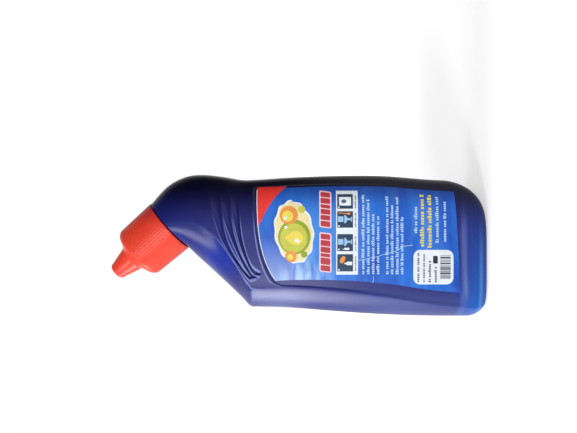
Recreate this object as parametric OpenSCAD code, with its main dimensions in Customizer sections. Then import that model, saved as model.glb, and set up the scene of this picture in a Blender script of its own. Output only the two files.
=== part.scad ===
// Squeezable bottle for toilet cleaner, with a leaning neck, a pour plug and a ribbed screw cap.
// It stands on its foot: Z is up, X runs from the lean side (-X) to the grip side (+X), Y is the depth.

/* [Body] */
// Depth of the body, front to back
body_depth = 38; // [34:0.5:44]
// Wall of the blown bottle
wall = 1.0; // [0.7:0.1:1.4]
// Lean side at the foot, distance from the Z axis
lean_side = 35; // [33:0.5:37]
// Grip side at its widest, distance from the Z axis
grip_side = 34.2; // [33:0.2:37]
// Height of the body below the shoulder
shoulder_z = 110; // [106:1:114]
// How far the label panel is sunk into the front and back
panel_recess = 0.5; // [0.2:0.1:0.8]

/* [Foot] */
// Heel radius on the lean side
heel_lean = 5.5; // [4:0.5:10]
// Heel radius on the grip side
heel_grip = 17; // [10:0.5:20]
// Heel radius at the front and back
heel_face = 6; // [4:0.5:9]
// Width of the flat ring that the bottle stands on
foot_ring = 3; // [2:0.5:4]
// How far the middle of the base is pushed up
push_up = 2.5; // [1:0.5:4]

/* [Neck] */
// Lean of the neck from upright, degrees
neck_lean = 41; // [36:1:46]
// Neck centre, distance from the Z axis
neck_x = 10.2; // [8:0.2:12]
// Neck centre, height above the foot
neck_z = 153.4; // [150:0.4:156]
// Outer diameter of the neck
neck_d = 22.6; // [21:0.2:23]
// Bore of the neck
neck_bore = 19; // [17:0.2:19.6]
// Length of the neck above the shoulder
neck_length = 20; // [17:0.5:22.5]
// Outer diameter over the thread
thread_d = 24.6; // [23.8:0.2:24.8]
// Rise of the thread in one turn
thread_pitch = 4; // [3:0.25:5]
// Turns of the thread
thread_turns = 1.5; // [1:0.25:2]

/* [Grip grooves] */
// Radius of each finger groove
groove_r = 1.1; // [0.6:0.1:1.4]
// How far each groove's centre lies outside the wall
groove_lift = 0.35; // [0.2:0.05:0.6]

/* [Pour plug] */
// Clearance between the plug and the neck bore
plug_clearance = 0.05; // [0.02:0.01:0.1]
// How deep the plug goes into the neck
plug_depth = 9; // [7:0.5:11]
// Wall of the plug
plug_wall = 1.2; // [1:0.1:1.5]
// Thickness of the rim that rests on the neck
plug_rim_t = 1.2; // [0.8:0.1:1.4]
// Height of the spout above the plug's rim
spout_height = 12; // [9:0.5:13]
// Diameter of the spout at its base
spout_base_d = 9; // [8:0.2:10]
// Diameter of the spout at its tip
spout_tip_d = 4.6; // [4:0.2:5.4]
// Diameter of the pouring hole
orifice_d = 2.4; // [1.6:0.2:2.8]

/* [Cap] */
// Wall of the skirt at its top, outside the bore that clears the thread
skirt_wall = 1.25; // [1.1:0.05:1.6]
// How much the skirt's radius grows down to the rim
skirt_flare = 0.65; // [0.2:0.05:0.9]
// Height of the cap's shoulder above the ceiling that closes on the plug
cap_crown = 1.7; // [1.3:0.1:2.5]
// Radius of the edge between skirt and top
cap_edge_r = 3.5; // [2:0.25:4]
// Wall of the cap's nipple
cap_wall = 1.5; // [1.2:0.1:1.6]
// Clearance between the cap's bore and the thread
cap_clearance = 0.2; // [0.15:0.05:0.3]
// Height of the nipple above the skirt
nipple_height = 13.5; // [12:0.5:15]
// Diameter of the nipple at its base
nipple_base_d = 13; // [12:0.5:14]
// Diameter of the nipple at its tip
nipple_tip_d = 8.8; // [8:0.2:9.6]
// Gap between the cap's rim and the shoulder
cap_gap = 0.6; // [0.4:0.1:1]
// Number of grip ribs round the skirt
rib_count = 72; // [48:2:80]
// Depth of the grip ribs at the rim
rib_depth = 0.25; // [0.15:0.05:0.4]

/* [Label] */
// Thickness of the label
label_t = 0.2; // [0.1:0.05:0.3]
// Gap between the label and the panel
label_gap = 0.08; // [0.05:0.01:0.12]

/* [Contents] */
// Height of the liquid above the foot
fill_z = 132; // [60:1:137]
// Gap between the liquid and the inner wall
fill_gap = 0.3; // [0.2:0.1:0.6]

/* [Hidden] */
$fn = 64;

bottle_color = [0.10, 0.12, 0.42];
plug_color = [0.93, 0.93, 0.90];
cap_color = [0.92, 0.25, 0.20];
label_color = [0.12, 0.36, 0.70];
liquid_color = [0.10, 0.25, 0.75];

half_depth = body_depth / 2;
neck_r = neck_d / 2;
bore_r = neck_bore / 2;
neck_across = [cos(neck_lean), sin(neck_lean)];
neck_centre = [neck_x, neck_z];
cap_bore_r = thread_d / 2 + cap_clearance;
cap_top_r = cap_bore_r + skirt_wall;
cap_rim_r = cap_top_r + skirt_flare;
land_r = cap_rim_r - 0.3;
// Along the neck's axis, from the shoulder: where the cap's inside meets the plug, and the skirt's top
seat_gap = 0.2;
cap_ceiling = neck_length + plug_rim_t + seat_gap;
cap_shoulder = cap_ceiling + cap_crown;
cap_tip = cap_shoulder + nipple_height;
spout_tip = neck_length + plug_rim_t + spout_height;

// The body is a ladder of stations, each a rung from the lean side to the grip side. The rungs are
// level up the body and then fan round to the tilt of the neck. A station holds its lean end [x, z],
// its grip end [x, z], its half depth as a share of the body's, how square the section is, where the
// crease lies as a share of the rung, and how round the bevel between crease and lean side is.
STATIONS = [
    [[-lean_side, 0], [grip_side - 2.7, 0], 0.97, 4.2, 0.085, 0],
    [[-lean_side, 25], [grip_side - 1.9, 25], 1.0, 4.2, 0.11, 0],
    [[-lean_side + 0.7, 50], [grip_side, 50], 1.0, 4.2, 0.155, 0],
    [[-lean_side + 2.4, 75], [grip_side - 0.1, 75], 1.0, 4.2, 0.18, 0],
    [[-lean_side + 4, shoulder_z - 15], [grip_side - 0.9, shoulder_z - 15], 0.98, 4.2, 0.18, 0],
    [[-lean_side + 4.4, shoulder_z - 1], [grip_side - 1.9, shoulder_z + 1], 0.95, 4, 0.165, 0],
    [[-lean_side + 4.8, shoulder_z + 3.5], [grip_side - 1.9, shoulder_z + 8], 0.94, 3.8, 0.2, 0],
    [[-lean_side + 9, shoulder_z + 7.7], [grip_side - 0.4, shoulder_z + 16.5], 0.93, 3.3, 0.3, 0.1],
    [[-lean_side + 16, shoulder_z + 15], [grip_side + 0.7, shoulder_z + 27], 0.9, 2.75, 0.45, 0.4],
    [[-lean_side + 23.5, shoulder_z + 23], [grip_side - 0.2, shoulder_z + 35.5], 0.86, 2.35, 0.5, 0.75],
    [[-lean_side + 29.5, shoulder_z + 29.5], [grip_side - 4.7, shoulder_z + 44.5], 0.8, 2.1, 0.5, 0.95],
    [neck_centre - land_r * neck_across, neck_centre + land_r * neck_across, land_r / half_depth, 2, 0.5, 1]
];
LAST = len(STATIONS) - 1;
LEAN_END = 0;
GRIP_END = 1;
DEPTH = 2;
SQUARENESS = 3;
CREASE = 4;
ROUNDNESS = 5;
bevel_fullness = 0.5;

// Height over which the heel rolls in at the lean side, the grip side, and the front and back
heel_lean_h = 7.5;
heel_grip_h = 20;
heel_face_h = 8;

// The flat face runs from the crease to this share of the rung. The label panel is sunk over the shares
// of that face listed here, from the rungs of its bottom edge at the lean and grip side to that of its top
FACE_EDGE = 0.94;
PANEL_SHARES = [0.985, 0.86, 0.72, 0.58, 0.45, 0.33, 0.22, 0.13, 0.06];
panel_bottom = [0.44, 0.56];
panel_top = 5.15;
panel_corner = [0.32, 1.6];
panel_rim = 0.035;
panel_step = 0.1;
BEVEL_STEPS = 6;

// Smooth curve through the stations, read at any point t from 0 to LAST
function spline(a, b, c, d, s) =
    0.5 * (2 * b + (c - a) * s + (2 * a - 5 * b + 4 * c - d) * s * s + (3 * b - a - 3 * c + d) * s * s * s);
function station(i, what) = STATIONS[max(0, min(LAST, i))][what];
function rung(t, what) =
    let (i = min(floor(t), LAST - 1))
    spline(station(i - 1, what), station(i, what), station(i + 1, what), station(i + 2, what), t - i);
function smoothstep(a, b, v) =
    let (s = max(0, min(1, (v - a) / (b - a))))
    s * s * (3 - 2 * s);

// How far the heel rolls in at the height of rung t, as a quarter ellipse of radius r and height h
function heel(t, r, h) =
    let (z = rung(t, LEAN_END).y)
    z >= h ? 0 : r * (1 - sqrt(1 - pow(1 - z / h, 2)));
function along(t) =
    let (v = rung(t, GRIP_END) - rung(t, LEAN_END))
    v / norm(v);
function lean_end(t, inset) = rung(t, LEAN_END) + (heel(t, heel_lean, heel_lean_h) + inset) * along(t);
function grip_end(t, inset) = rung(t, GRIP_END) - (heel(t, heel_grip, heel_grip_h) + inset) * along(t);
function depth_at(t, inset) = half_depth * rung(t, DEPTH) - heel(t, heel_face, heel_face_h) - inset;

// Depth of the domed face at share u of rung t, and how deep the panel is sunk there
function dome(t, u, inset) =
    depth_at(t, inset) * pow(1 - pow(abs(2 * u - 1), rung(t, SQUARENESS)), 1 / rung(t, SQUARENESS));
function panel_low(f) = panel_bottom[0] + f * (panel_bottom[1] - panel_bottom[0]);
function panel_high(f) =
    panel_top
    - panel_corner[1] * (f >= panel_corner[0] ? 0 : 1 - sqrt(1 - pow(1 - f / panel_corner[0], 2)));
function sunk(t, f) =
    panel_recess
    * smoothstep(panel_low(f), panel_low(f) + panel_step, t)
    * (1 - smoothstep(panel_high(f) - panel_step, panel_high(f), t));
// Share of the rung at share f of the face, which runs from the crease to FACE_EDGE
function on_face(t, f) = rung(t, CREASE) + f * (FACE_EDGE - rung(t, CREASE));

// The bevel as shares of the crease's own place and depth: a soft curve from the crease to the lean side
function bevel(s) = [pow(1 - s, 2), pow(1 - s, 2) + 2 * bevel_fullness * s * (1 - s)];

// Half of a section as [share of the rung, depth]: round the grip side, over the face and the panel,
// and down the bevel to the lean side
function half_section(t, inset) =
    let (
        square = rung(t, SQUARENESS),
        turn = acos(pow(2 * FACE_EDGE - 1, square / 2)),
        crease = rung(t, CREASE),
        crease_depth = dome(t, crease, inset),
        roundness = rung(t, ROUNDNESS)
    )
    concat(
        [for (i = [0:5]) let (u = 0.5 + 0.5 * pow(cos(turn * i / 5), 2 / square)) [u, dome(t, u, inset)]],
        [for (f = PANEL_SHARES) let (u = on_face(t, f)) [u, dome(t, u, inset) - (inset > 0 ? 0 : sunk(t, f))]],
        [let (u = on_face(t, panel_rim)) [u, dome(t, u, inset)]],
        [
            for (i = [0:BEVEL_STEPS])
            let (s = i / BEVEL_STEPS, flat = bevel(s), round = [1 - sin(90 * s), cos(90 * s)])
            let (p = (1 - roundness) * flat + roundness * round)
            [crease * p[0], crease_depth * p[1]]
        ]
    );
function at_rung(t, inset, p, side) =
    let (a = lean_end(t, inset), b = grip_end(t, inset))
    [a.x + p[0] * (b.x - a.x), side * p[1], a.y + p[0] * (b.y - a.y)];
function ring(t, inset) =
    let (half = half_section(t, inset), n = len(half))
    concat(
        [for (i = [0:n - 1]) at_rung(t, inset, half[i], -1)],
        [for (i = [n - 2:-1:1]) at_rung(t, inset, half[i], 1)]
    );
function raised(points, z) = [for (p = points) p + [0, 0, z]];

// Rungs of the skin: close together round the heel, wide up the body, close again round the shoulder
HEEL_RUNGS = [0, 0.03, 0.08, 0.15, 0.24, 0.35, 0.45, 0.56, 0.67];
BODY_RUNGS = [0.9:0.4:4.5];
SHOULDER_RUNGS = [4.74:0.22:10.9];
OUTER_RUNGS = concat(HEEL_RUNGS, [for (t = BODY_RUNGS) t], [for (t = SHOULDER_RUNGS) t], [LAST]);
INNER_RUNGS = concat([0, 0.16, 0.3, 0.46], [for (t = [1:0.8:4.2]) t], [for (t = [4.8:0.5:10.3]) t], [LAST]);

// Finger grooves across the shoulder: start [t, u], the rung they flatten out on, and how soon
GROOVES = [
    [[5.3, 0.24], 7.5, 7],
    [[5.1, 0.25], 7.0, 4.5],
    [[4.9, 0.27], 6.4, 4.4]
];
groove_end = 0.9;
groove_steps = 20;

// Label outline on the ladder: rungs of its bottom edge and of its top edge at the lean and grip side
LABEL_SHARES = [0.968, 0.86, 0.72, 0.58, 0.45, 0.33, 0.22, 0.15];
label_edge = [0.125, 0.075];
label_bottom = [0.59, 0.7];
label_top = [4.3, 4.78];
label_rows = 14;

// A solid through a list of rings, closed flat at both ends
module loft(rings) {
    n = len(rings[0]);
    m = len(rings);
    sides = [
        for (j = [0:m - 2], i = [0:n - 1])
        let (a = j * n + i, b = j * n + (i + 1) % n)
        each [[a, b, b + n], [a, b + n, a + n]]
    ];
    bottom = [for (i = [n - 1:-1:0]) i];
    top = [for (i = [0:n - 1]) (m - 1) * n + i];
    polyhedron(points = [for (r = rings) each r], faces = concat(sides, [bottom], [top]));
}

// A solid sheet between two grids of points of the same size
module sheet(outer, inner) {
    rows = len(outer);
    columns = len(outer[0]);
    strips = [for (j = [0:rows - 1]) concat(outer[j], [for (i = [columns - 1:-1:0]) inner[j][i]])];
    loft(strips);
}

module in_neck_frame() {
    translate([neck_x, 0, neck_z]) rotate([0, -neck_lean, 0]) children();
}

// Rings of a skin from the middle of the pushed-up base, down to the foot ring, round the heel and up
function skin(inset, rungs) = concat(
    [for (p = [[4, 1], [1.2, 0.7], [0, 0]]) raised(ring(0, foot_ring + p[0]), inset + push_up * p[1])],
    [for (t = rungs) raised(ring(t, inset), t < 0.1 ? inset : 0)]
);
function reversed(list) = [for (i = [len(list) - 1:-1:0]) list[i]];

// One finger groove: a round cutter that runs along the surface and rises out of it at its end
module grip_groove(g, side) {
    path = [
        for (i = [0:groove_steps])
        let (
            s = i / groove_steps,
            u = g[0][1] + s * (groove_end - g[0][1]),
            t = g[1] - (g[1] - g[0][0]) * pow(1 - s, g[2]),
            out = groove_lift + (groove_r - groove_lift) * pow(s, 3)
        )
        at_rung(t, 0, [u, dome(t, u, 0) + out], side)
    ];
    rings = [
        for (i = [0:groove_steps])
        let (
            v = path[min(i + 1, groove_steps)] - path[max(i - 1, 0)],
            across = cross(v, [0, 1, 0]) / norm(cross(v, [0, 1, 0]))
        )
        [for (a = [0:45:315]) path[i] + groove_r * (cos(a) * across + sin(a) * [0, 1, 0])]
    ];
    loft(rings);
}

// Thread ridge round the neck, fading in and out at its ends
module neck_thread() {
    per_turn = 24;
    steps = thread_turns * per_turn;
    start = neck_length - 2.5 - thread_turns * thread_pitch;
    rings = [
        for (i = [0:steps])
        let (
            a = 360 * i / per_turn,
            z = start + thread_pitch * i / per_turn,
            crest = neck_r + (thread_d / 2 - neck_r) * min(1, i / 4, (steps - i) / 4),
            root = neck_r - 0.4
        )
        [for (p = [[root, -1.1], [crest, -0.35], [crest, 0.35], [root, 1.1]]) [p[0] * cos(a), p[0] * sin(a), z + p[1]]]
    ];
    loft(rings);
}

module neck() {
    difference() {
        union() {
            rotate_extrude() polygon([
                [0, -1.2],
                [land_r - 0.5, -1.2],
                [land_r - 0.5, 0.2],
                [neck_r + 0.6, 0.35],
                [neck_r, 0.9],
                [neck_r, neck_length - 0.8],
                [neck_r - 0.8, neck_length],
                [0, neck_length]
            ]);
            neck_thread();
        }
        translate([0, 0, -3]) cylinder(r = bore_r, h = neck_length + 4);
    }
}

module bottle() {
    color(bottle_color) {
        difference() {
            loft(concat(skin(0, OUTER_RUNGS), reversed(skin(wall, INNER_RUNGS))));
            for (g = GROOVES, side = [-1, 1]) grip_groove(g, side);
        }
        in_neck_frame() neck();
    }
}

// Soft plug pressed into the neck, hollow below, with a tapering spout and a small pouring hole
module nozzle_insert() {
    plug_r = bore_r - plug_clearance;
    rim_r = neck_r - 0.6;
    color(plug_color) in_neck_frame() rotate_extrude() polygon([
        [orifice_d / 2, neck_length - 0.4],
        [plug_r - plug_wall, neck_length - 0.4],
        [plug_r - plug_wall, neck_length - plug_depth],
        [plug_r - 0.4, neck_length - plug_depth],
        [plug_r, neck_length - plug_depth + 1],
        [plug_r, neck_length],
        [rim_r, neck_length],
        [rim_r, neck_length + plug_rim_t - 0.3],
        [rim_r - 0.3, neck_length + plug_rim_t],
        [spout_base_d / 2 + 0.5, neck_length + plug_rim_t],
        [spout_base_d / 2, neck_length + plug_rim_t + 0.5],
        [spout_tip_d / 2, spout_tip - 0.5],
        [spout_tip_d / 2 - 0.4, spout_tip],
        [orifice_d / 2, spout_tip]
    ]);
}

// Ribbed outline of the skirt at the rim
function rib_outline() = [
    for (i = [0:rib_count - 1], p = [[0.1, 0], [0.35, 1], [0.75, 1], [1, 0]])
    let (
        a = 360 * (i + p[0]) / rib_count,
        r = cap_rim_r + 0.2 - (1 - p[1]) * (rib_depth + 0.2)
    )
    [r * cos(a), r * sin(a)]
];

// Screw cap: a tapered skirt with grip ribs, a rounded edge and a hollow nipple over the spout
module cap() {
    edge_z = cap_shoulder - cap_edge_r;
    dome_z = cap_shoulder + 2.5;
    tip_round = 2.2;
    color(cap_color) in_neck_frame() difference() {
        intersection() {
            rotate_extrude() polygon(concat(
                [[0, cap_gap], [cap_rim_r - 0.3, cap_gap], [cap_rim_r, cap_gap + 0.3]],
                [for (a = [0:15:75]) [cap_top_r - cap_edge_r + cap_edge_r * cos(a), edge_z + cap_edge_r * sin(a)]],
                [[nipple_base_d / 2 + 1.4, dome_z - 1], [nipple_base_d / 2 + 0.3, dome_z]],
                [for (a = [0:22.5:90]) [nipple_tip_d / 2 - tip_round + tip_round * cos(a), cap_tip - tip_round + tip_round * sin(a)]],
                [[0, cap_tip]]
            ));
            union() {
                translate([0, 0, cap_gap - 0.5])
                    linear_extrude(height = edge_z - cap_gap + 1, scale = cap_top_r / cap_rim_r)
                        polygon(rib_outline());
                translate([0, 0, edge_z]) cylinder(r = 2 * cap_rim_r, h = cap_tip);
            }
        }
        rotate_extrude() polygon([
            [0, cap_gap - 1],
            [cap_bore_r + 0.4, cap_gap - 1],
            [cap_bore_r + 0.4, cap_gap],
            [cap_bore_r, cap_gap + 0.8],
            [cap_bore_r, cap_ceiling - 1],
            [neck_r - 0.2, cap_ceiling],
            [nipple_base_d / 2 - cap_wall + 0.6, cap_ceiling],
            [nipple_base_d / 2 - cap_wall, dome_z],
            [nipple_tip_d / 2 - cap_wall, cap_tip - cap_wall - 1],
            [nipple_tip_d / 2 - cap_wall - 1, cap_tip - cap_wall],
            [0, cap_tip - cap_wall]
        ]);
    }
}

// Rung of the label at share f of the face and share v of its height; the top edge rises to the grip side
function label_rung(f, v) =
    let (
        low = label_bottom[0] + f * (label_bottom[1] - label_bottom[0]),
        high = label_top[0] + sin(90 * f) * (label_top[1] - label_top[0])
    )
    low + v * (high - low);
function label_skin(out) = [
    for (j = [0:label_rows])
    let (v = j / label_rows, edge = label_edge[0] + (label_edge[1] - label_edge[0]) * smoothstep(0.25, 1, v))
    [
        for (f = concat(LABEL_SHARES, [edge]))
        let (t = label_rung(f, v), u = on_face(t, f))
        at_rung(t, 0, [u, dome(t, u, 0) - sunk(t, f) + out], -1)
    ]
];
module front_label() {
    color(label_color) sheet(label_skin(label_gap + label_t), label_skin(label_gap));
}

module cleaner_fill() {
    color(liquid_color) intersection() {
        loft(skin(wall + fill_gap, INNER_RUNGS));
        translate([-50, -50, 0]) cube([100, 100, fill_z]);
    }
}

bottle();
nozzle_insert();
cap();
front_label();
cleaner_fill();
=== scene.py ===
"""Looks of the toilet cleaner bottle: wall, label and print, cap, light and camera.

The bottle stands on its foot in the frame: Z is up, the neck leans to -X, and -Y is the front.
Sizes are in millimetres here, and to_metres() brings points to the frame's metres.
"""
import math
import random

import bmesh
import bpy
from mathutils import Matrix, Vector


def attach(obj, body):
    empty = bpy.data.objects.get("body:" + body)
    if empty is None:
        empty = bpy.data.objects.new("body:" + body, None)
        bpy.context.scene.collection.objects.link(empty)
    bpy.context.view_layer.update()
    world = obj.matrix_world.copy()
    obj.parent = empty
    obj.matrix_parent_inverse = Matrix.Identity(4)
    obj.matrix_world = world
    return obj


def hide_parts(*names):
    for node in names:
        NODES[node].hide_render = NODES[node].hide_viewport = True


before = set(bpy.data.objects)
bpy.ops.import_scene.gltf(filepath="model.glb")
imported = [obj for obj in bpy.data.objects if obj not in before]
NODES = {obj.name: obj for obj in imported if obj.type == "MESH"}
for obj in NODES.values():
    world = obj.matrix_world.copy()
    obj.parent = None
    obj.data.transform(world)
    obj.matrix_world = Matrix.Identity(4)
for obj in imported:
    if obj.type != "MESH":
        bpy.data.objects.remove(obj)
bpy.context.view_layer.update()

# Driving sizes, the same as in the part's source
HALF_DEPTH = 19.0
LEAN_SIDE = 35.0
GRIP_SIDE = 34.2
SHOULDER_Z = 110.0
WALL = 1.0
PANEL_RECESS = 0.5
HEEL_LEAN = (5.5, 7.5)
HEEL_GRIP = (17.0, 20.0)
HEEL_FACE = (6.0, 8.0)
FOOT_RING = 3.0
PUSH_UP = 2.5
NECK_LEAN = math.radians(41.0)
NECK_CENTRE = Vector((10.2, 153.4))
NECK_R = 11.3
BORE_R = 9.5
NECK_LENGTH = 20.0
THREAD_R = 12.3
THREAD_PITCH = 4.0
THREAD_TURNS = 1.5
CAP_R = 14.4
CAP_TOP_R = 13.75
CAP_GAP = 0.6
SKIRT_LENGTH = 22.5
CAP_EDGE_R = 3.5
CAP_DOME = 2.5
NIPPLE_HEIGHT = 13.5
LAND_R = CAP_R - 0.3
LABEL_GAP = 0.08
LABEL_T = 0.2
CAP_WALL = 1.5
NIPPLE_R = (6.5, 4.4)
TIP_ROUND = 2.2
RIB_COUNT = 72
RIB_STEPS = 8
RIB_DEPTH = 0.07

NECK_ACROSS = Vector((math.cos(NECK_LEAN), math.sin(NECK_LEAN)))
NECK_UP = Vector((-math.sin(NECK_LEAN), math.cos(NECK_LEAN)))
LAND_LEAN_END = NECK_CENTRE - LAND_R * NECK_ACROSS
LAND_GRIP_END = NECK_CENTRE + LAND_R * NECK_ACROSS

# The ladder of stations: lean end, grip end, depth share, squareness, crease share, bevel roundness
STATIONS = [
    ((-LEAN_SIDE, 0), (GRIP_SIDE - 2.7, 0), 0.97, 4.2, 0.085, 0),
    ((-LEAN_SIDE, 25), (GRIP_SIDE - 1.9, 25), 1.0, 4.2, 0.11, 0),
    ((-LEAN_SIDE + 0.7, 50), (GRIP_SIDE, 50), 1.0, 4.2, 0.155, 0),
    ((-LEAN_SIDE + 2.4, 75), (GRIP_SIDE - 0.1, 75), 1.0, 4.2, 0.18, 0),
    ((-LEAN_SIDE + 4, SHOULDER_Z - 15), (GRIP_SIDE - 0.9, SHOULDER_Z - 15), 0.98, 4.2, 0.18, 0),
    ((-LEAN_SIDE + 4.4, SHOULDER_Z - 1), (GRIP_SIDE - 1.9, SHOULDER_Z + 1), 0.95, 4, 0.165, 0),
    ((-LEAN_SIDE + 4.8, SHOULDER_Z + 3.5), (GRIP_SIDE - 1.9, SHOULDER_Z + 8), 0.94, 3.8, 0.2, 0),
    ((-LEAN_SIDE + 9, SHOULDER_Z + 7.7), (GRIP_SIDE - 0.4, SHOULDER_Z + 16.5), 0.93, 3.3, 0.3, 0.1),
    ((-LEAN_SIDE + 16, SHOULDER_Z + 15), (GRIP_SIDE + 0.7, SHOULDER_Z + 27), 0.9, 2.75, 0.45, 0.4),
    ((-LEAN_SIDE + 23.5, SHOULDER_Z + 23), (GRIP_SIDE - 0.2, SHOULDER_Z + 35.5), 0.86, 2.35, 0.5, 0.75),
    ((-LEAN_SIDE + 29.5, SHOULDER_Z + 29.5), (GRIP_SIDE - 4.7, SHOULDER_Z + 44.5), 0.8, 2.1, 0.5, 0.95),
    (tuple(LAND_LEAN_END), tuple(LAND_GRIP_END), LAND_R / HALF_DEPTH, 2.0, 0.5, 1),
]
LAST = len(STATIONS) - 1

# Share of a rung at which the face ends and the round of the grip side begins
FACE_EDGE = 0.94

# The sunk panel: rungs of its bottom edge, its margin above the label, the size of its round corner,
# how soon it sinks, and both of its ends as shares of the face
PANEL_BOTTOM = (0.44, 0.56)
PANEL_MARGIN = 0.16
PANEL_CORNER = (0.12, 0.4)
PANEL_STEP = 0.1
PANEL_FACE = (0.02, 0.9895)

# The crease is sharp beside the label and a soft ridge beside the grooves: rungs where the ridge grows
# and fades, and the shares of the face and of the bevel that its round takes, sharp and soft
RIDGE_GROWS = (5.2, 6.0)
RIDGE_FADES = (8.5, 10)
RIDGE_FACE = (0.008, 0.036)
RIDGE_BEVEL = (0.06, 0.16)

# Steps of a half section round its grip edge, across the crease and over the bevel
EDGE_STEPS = 10
CREASE_STEPS = 6
BEVEL_STEPS = 14

# Finger grooves across the shoulder: start rung and share, the rung they flatten out on, and how soon
GROOVES = [
    ((5.3, 0.24), 7.5, 7),
    ((5.1, 0.25), 7.0, 4.5),
    ((4.9, 0.27), 6.4, 4.4),
]
GROOVE_END = 0.9
GROOVE_DEPTH = 0.85
GROOVE_WIDTH = (1.1, 2.2)

# The label on the ladder: shares of the face at its left edge, low and high, and at its right edge,
# rungs of its bottom and top edge at the lean and the grip side, and peak and power of the top's bow
LABEL_LEFT = (0.125, 0.075)
LABEL_RIGHT = 0.968
LABEL_BOTTOM = (0.59, 0.7)
LABEL_TOP = (4.2, 4.93)
LABEL_BOW = (0.8, 2.5)

# The film's lower left corner is a little lifted: where it is, how far, and how far the curl reaches
LABEL_CORNER = (-19.9, 14.9)
CORNER_LIFT = 0.5
CORNER_REACH = 4.0

# Ink lies in thin sheets on the film, cut along these lines so that they follow its curve
INK_STEP = 0.03
INK_T = 0.025
INK_INSET = 0.002
PRINT_SEED = 7
CUT_X = [-30 + 2.5 * i for i in range(18)] + [15 + i for i in range(16)]
CUT_Z = [12 + 6 * i for i in range(17)]

# The photograph's camera: where it stands, and how many of its pixels a millimetre takes at the axis
CAMERA_X = 14.25
CAMERA_Z = 94.75
CAMERA_DISTANCE = 300.0
PIXELS_PER_MM = 2.0
PHOTO_WIDTH = 577
SENSOR_MM = 36.0

# The room: its even light, the side that mirrors bright, and how bright its dark side and floor mirror
WORLD_LIGHT = 0.3
ROOM_BRIGHT_SIDE = (-0.6, 0.8, 0)
ROOM_SPAN = (-0.4, 0.75)
ROOM_DARKEST = 0.04
FLOOR_MIRRORED = 0.3
FLOOR_HALF = 4000
FLOOR_BELOW = 0.05
FLOOR_SHADOW = (90, 420)
DAYLIGHT = (0.95, 0.96, 1.0)

# What the lamps point at, in metres
BODY = (0, 0, 0.1)
SHOULDER = (0, 0, 0.12)


def to_metres(point):
    return Vector(point) * 0.001


def smoothstep(low, high, value):
    s = max(0.0, min(1.0, (value - low) / (high - low)))
    return s * s * (3 - 2 * s)


def mix(a, b, s):
    return a + (b - a) * s


# The ladder


def spline(a, b, c, d, s):
    """The smooth curve from b to c whose ends run on towards a and d."""
    slope = c - a
    square = 2 * a - 5 * b + 4 * c - d
    cube = 3 * b - a - 3 * c + d
    return 0.5 * (2 * b + slope * s + square * s * s + cube * s**3)


def rung(t):
    """The stations' values at rung t: both ends as vectors, and the four shape values."""
    i = max(0, min(int(t), LAST - 1))
    rows = [STATIONS[max(0, min(LAST, i + k))] for k in (-1, 0, 1, 2)]
    ends = [spline(*(Vector(row[e]) for row in rows), t - i) for e in (0, 1)]
    return ends + [spline(*(row[k] for row in rows), t - i) for k in (2, 3, 4, 5)]


def heel(z, size):
    """How far the heel's round draws the skin in at height z."""
    radius, height = size
    if z >= height:
        return 0.0
    return radius * (1 - math.sqrt(max(0.0, 1 - (1 - z / height) ** 2)))


class Rung:
    """One rung of the ladder with its heel rolled in, drawn in by an inset."""

    def __init__(self, t, inset=0.0):
        lean, grip, depth, self.square, self.crease, self.roundness = rung(t)
        z = lean.y
        direction = (grip - lean).normalized()
        self.t = t
        self.lean = lean + (heel(z, HEEL_LEAN) + inset) * direction
        self.grip = grip - (heel(z, HEEL_GRIP) + inset) * direction
        self.depth = HALF_DEPTH * depth - heel(z, HEEL_FACE) - inset

    def dome(self, u):
        return self.depth * max(0.0, 1 - abs(2 * u - 1) ** self.square) ** (1 / self.square)

    def on_face(self, f):
        return self.crease + f * (FACE_EDGE - self.crease)

    def face_share(self, u):
        return (u - self.crease) / (FACE_EDGE - self.crease)

    def point(self, u, depth, side):
        at = self.lean + u * (self.grip - self.lean)
        return Vector((at.x, side * depth, at.y))


def label_high(f):
    """Rung of the label's top edge, which rises to the grip side in a bow."""
    peak, power = LABEL_BOW
    return mix(*LABEL_TOP, 1 - abs(1 - max(0.0, min(1.0, f)) / peak) ** power)


def label_rung(f, v):
    return mix(mix(*LABEL_BOTTOM, f), label_high(f), v)


def panel_high(f):
    """Rung of the panel's top edge: it follows the label's, with a round corner at the lean side."""
    across, drop = PANEL_CORNER
    high = label_high(f) + PANEL_MARGIN
    if f >= across:
        return high
    return high - drop * (1 - math.sqrt(max(0.0, 1 - (1 - max(0.0, f) / across) ** 2)))


def sunk(t, f):
    """How deep the label panel is sunk at rung t and share f of the face."""
    low, high = mix(*PANEL_BOTTOM, f), panel_high(f)
    along = smoothstep(low, low + PANEL_STEP, t) * (1 - smoothstep(high - PANEL_STEP, high, t))
    soft = mix(0.02, 0.01, smoothstep(1.5, 3.5, t))
    across = smoothstep(PANEL_FACE[0] - soft, PANEL_FACE[0] + soft, f)
    across *= 1 - smoothstep(PANEL_FACE[1] - 0.01, PANEL_FACE[1] + 0.01, f)
    return PANEL_RECESS * along * across


def groove(t, u):
    """Depth of the finger grooves at rung t and share u of the rung."""
    depth = 0.0
    rung_gap, rung_width = 7.0, 45
    for (start_t, start_u), flat_t, soon in GROOVES:
        s = (u - start_u) / (GROOVE_END - start_u)
        if not 0 < s < 1:
            continue
        centre = flat_t - (flat_t - start_t) * (1 - s) ** soon
        slope = (flat_t - start_t) * soon * (1 - s) ** (soon - 1)
        away = abs(t - centre) * rung_gap / math.hypot(1, slope * rung_gap / rung_width)
        width = mix(*GROOVE_WIDTH, s)
        if away < width:
            fade = smoothstep(0, 0.02, s) * (1 - smoothstep(0.55, 1, s))
            depth = max(depth, GROOVE_DEPTH * fade * (1 - (away / width) ** 2) ** 1.5)
    return depth


def face_depth(r, u):
    return r.dome(u) - sunk(r.t, r.face_share(u)) - groove(r.t, u)


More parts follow.
